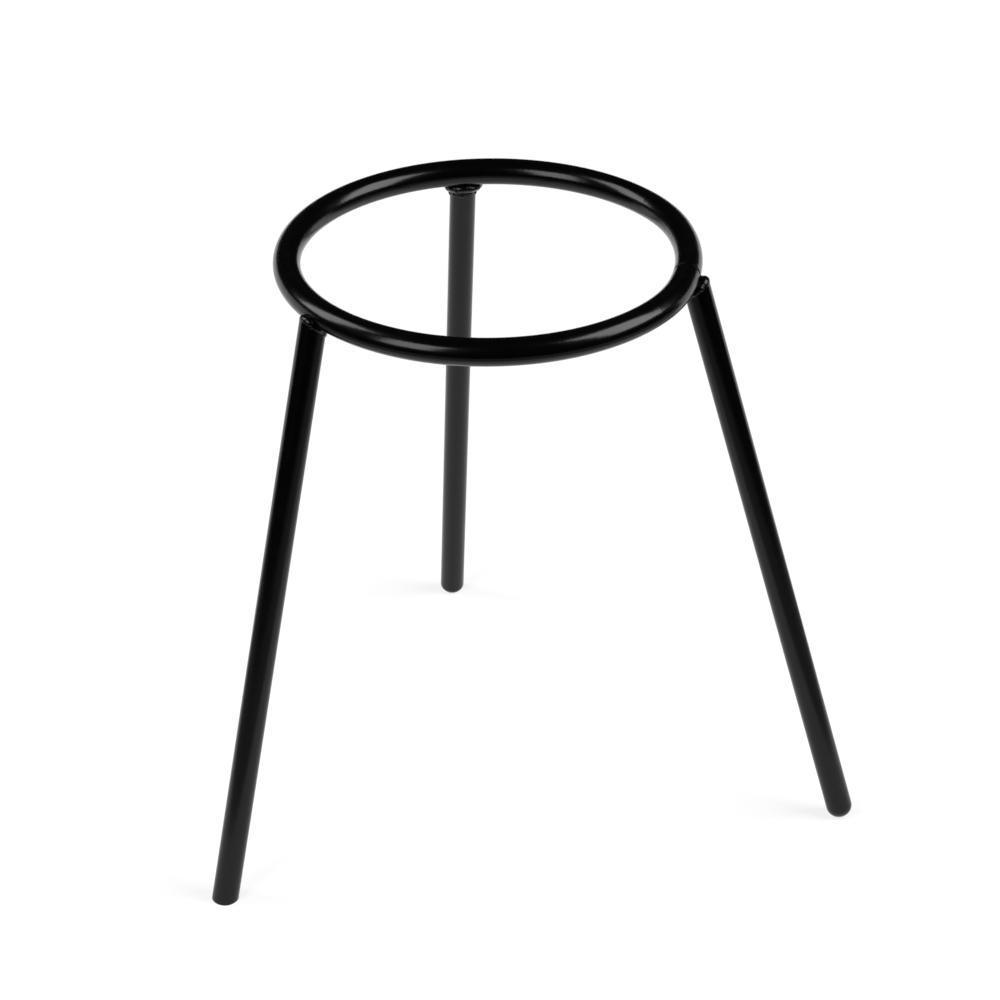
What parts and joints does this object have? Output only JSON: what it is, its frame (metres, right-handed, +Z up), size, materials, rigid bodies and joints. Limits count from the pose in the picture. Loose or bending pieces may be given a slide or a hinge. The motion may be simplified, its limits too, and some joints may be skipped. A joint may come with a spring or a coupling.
{
  "type": "lab tripod stand",
  "caption": "Welded steel tripod with a round ring on splayed round-bar legs, holding a gauze, dish or flask above a burner; black enamelled.",
  "frame": {"origin": "on the bench, straight below the middle of the ring", "axes": "+Z up along the ring's axis, +Y from that axis towards the rear leg, +X towards the right leg's side"},
  "size_m": [0.1704, 0.1464, 0.1574],
  "materials": {
    "bar_enamel": "gloss black stoving enamel over hot-rolled round bar",
    "weld_enamel": "the same gloss black enamel, pooled over rippled weld metal"
  },
  "bodies": {
    "root": {"ring": "bar_enamel", "leg_left": "bar_enamel", "leg_right": "bar_enamel", "leg_rear": "bar_enamel", "weld_left": "weld_enamel", "weld_right": "weld_enamel", "weld_rear": "weld_enamel"}
  },
  "joints": []
}
